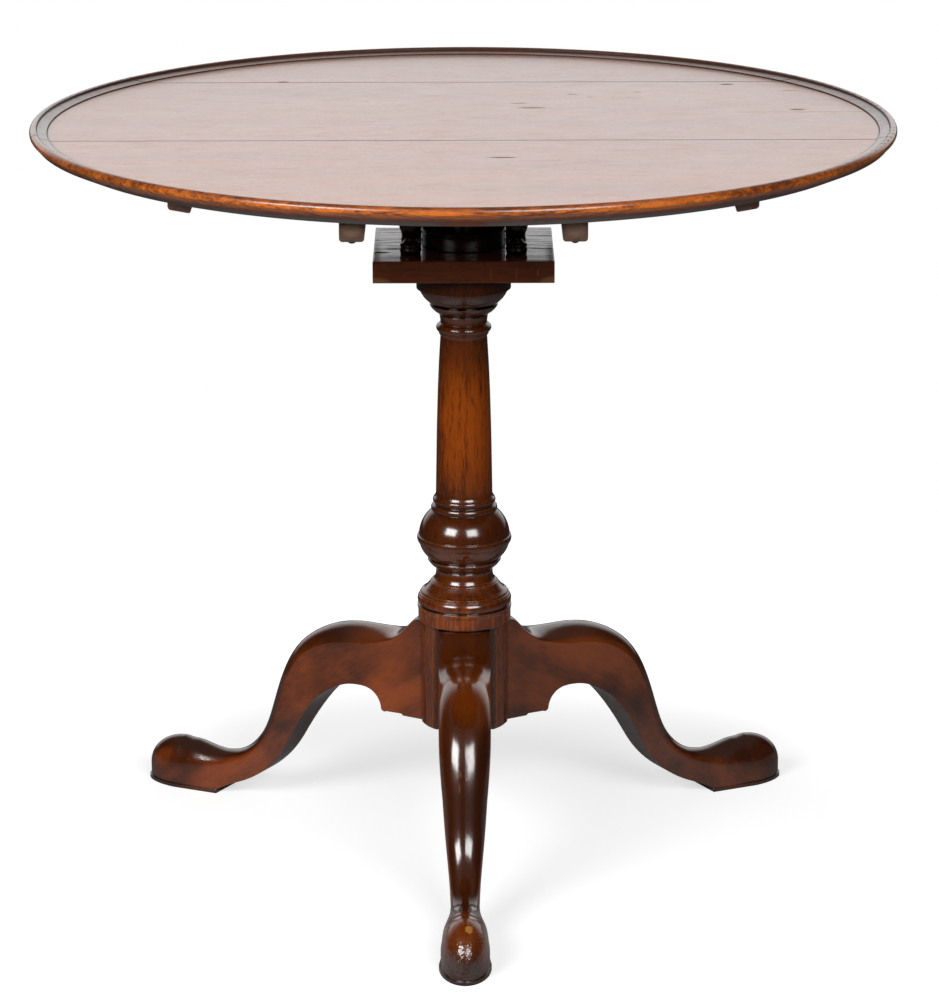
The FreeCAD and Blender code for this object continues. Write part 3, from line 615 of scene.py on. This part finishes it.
def paint_table(nodes):
    upright = (0, math.pi / 2, 0)
    crosswise = (0, 0, -math.pi / 2)
    joints = [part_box(name)[1].y for name in ("top_board_front", "top_board_middle")]
    top = top_wood(joints)
    ends = [end_spot(name) for name in ("batten_inner_left", "batten_inner_right")]
    batten_look = (batten_tints, block_shares, dull_finish, plain_wear)
    batten = plain_wood("batten_wood", crosswise, *batten_look, ends)
    marks = (worn_spots, crack_spots)
    cage = plain_wood("cage_wood", (0, 0, 0), cage_tints, block_shares, block_finish, plain_wear, *marks)
    turning = plain_wood("cage_turning", upright, baluster_tints, turned_shares, dark_finish, plain_wear)
    shaft = column_wood(upright)
    brass = metal("brass_metal", brass_tints, brass_roughness)
    iron = metal("iron_metal", iron_tints, iron_roughness)
    dress = {"column": shaft}
    for name in nodes:
        if name in legs:
            dress[name] = leg_wood(name, *legs[name])
        elif name.startswith("top_board"):
            dress[name] = top
        elif "screws" in name or name == "latch_bolt":
            dress[name] = iron
        elif name.startswith("latch"):
            dress[name] = brass
        elif name.startswith("batten"):
            dress[name] = batten
        elif name.startswith("baluster") or name == "collar":
            dress[name] = turning
        elif name != "column":
            dress[name] = cage
    for name, material in dress.items():
        nodes[name].material_slots[0].material = material


def floor_material():
    """White floor that keeps soft shadows near the table and is pure white farther out."""
    material, paint = new_material("white_floor")
    far = paint.length(paint.object_place())
    glow = paint.mix(paint.span(far, floor_glow_span), floor_glow_near, 1.0)
    seen = paint.node("LightPath", {})
    straight = seen.outputs["Is Camera Ray"]
    light = paint.node("Emission", {"Color": tint(white), "Strength": paint.times(glow, straight)})
    mirror = paint.blend(paint.span(far, floor_mirror_span), floor_mirror_near, floor_mirror_far)
    dimmed = paint.blend(seen.outputs["Is Glossy Ray"], floor_lit_colour, mirror)
    matt = paint.node("BsdfDiffuse", {"Color": paint.blend(straight, dimmed, floor_seen_colour)})
    paint.finish(paint.node("AddShader", {0: light.outputs[0], 1: matt.outputs[0]}).outputs[0])
    return material


def make_floor():
    bpy.ops.mesh.primitive_circle_add(vertices=floor_sides, radius=floor_radius, fill_type="NGON")
    floor = bpy.context.object
    floor.name = "floor"
    floor.data.materials.append(floor_material())


def make_world():
    """White to the camera. Round the table it is a white backdrop behind and a dark room in front."""
    world = bpy.data.worlds.new("studio")
    bpy.context.scene.world = world
    world.use_nodes = True
    paint = Paint(world.node_tree)
    way = paint.node("SeparateXYZ", {0: paint.node("TexCoord", {}).outputs["Generated"]})
    level = paint.mix(paint.span(way.outputs[1], back_span), front_level, back_level)
    level = paint.mix(paint.span(way.outputs[2], overhead_span), level, overhead_level)
    level = paint.mix(paint.span(way.outputs[2], horizon_span), below_level, level)
    seen = paint.node("LightPath", {})
    straight = paint.sum("MAXIMUM", seen.outputs["Is Camera Ray"], seen.outputs["Is Transmission Ray"])
    level = paint.mix(straight, level, 1.0)
    sky = paint.node("Background", {"Color": tint(white), "Strength": level})
    paint.finish(sky.outputs[0], "OutputWorld")


def make_soft_box(name, turn, level):
    lamp = bpy.data.lights.new(name, "AREA")
    lamp.shape = "RECTANGLE"
    lamp.size = soft_box_width
    lamp.size_y = soft_box_height
    lamp.energy = math.pi * soft_box_width * soft_box_height * level
    box = bpy.data.objects.new(name, lamp)
    bpy.context.scene.collection.objects.link(box)
    flat = math.cos(soft_box_rise)
    way = Vector((math.sin(turn) * flat, -math.cos(turn) * flat, math.sin(soft_box_rise)))
    box.location = soft_box_aim + way * soft_box_distance
    box.rotation_euler = (-way).to_track_quat("-Z", "Y").to_euler()


def make_camera():
    camera = bpy.data.objects.new("camera", bpy.data.cameras.new("camera"))
    bpy.context.scene.collection.objects.link(camera)
    camera.data.lens = camera_lens
    camera.data.sensor_fit = "VERTICAL"
    camera.data.sensor_height = sensor_height
    aim = Euler((math.pi / 2 - camera_pitch, 0, camera_yaw)).to_matrix().to_4x4()
    roll = Matrix.Rotation(camera_roll, 4, "Z")
    camera.matrix_world = Matrix.Translation(camera_place) @ aim @ roll
    bpy.context.scene.camera = camera


def make_studio():
    make_floor()
    make_world()
    for name, (turn, level) in soft_boxes.items():
        make_soft_box(name, turn, level)
    make_camera()
    bpy.context.scene.view_settings.view_transform = "Standard"


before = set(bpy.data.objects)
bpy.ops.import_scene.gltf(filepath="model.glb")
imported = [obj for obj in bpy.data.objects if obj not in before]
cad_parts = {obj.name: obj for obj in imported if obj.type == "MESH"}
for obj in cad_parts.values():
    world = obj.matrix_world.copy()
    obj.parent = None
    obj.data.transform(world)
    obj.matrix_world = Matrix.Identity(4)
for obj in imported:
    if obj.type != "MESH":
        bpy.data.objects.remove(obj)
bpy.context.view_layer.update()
paint_table(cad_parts)
make_studio()
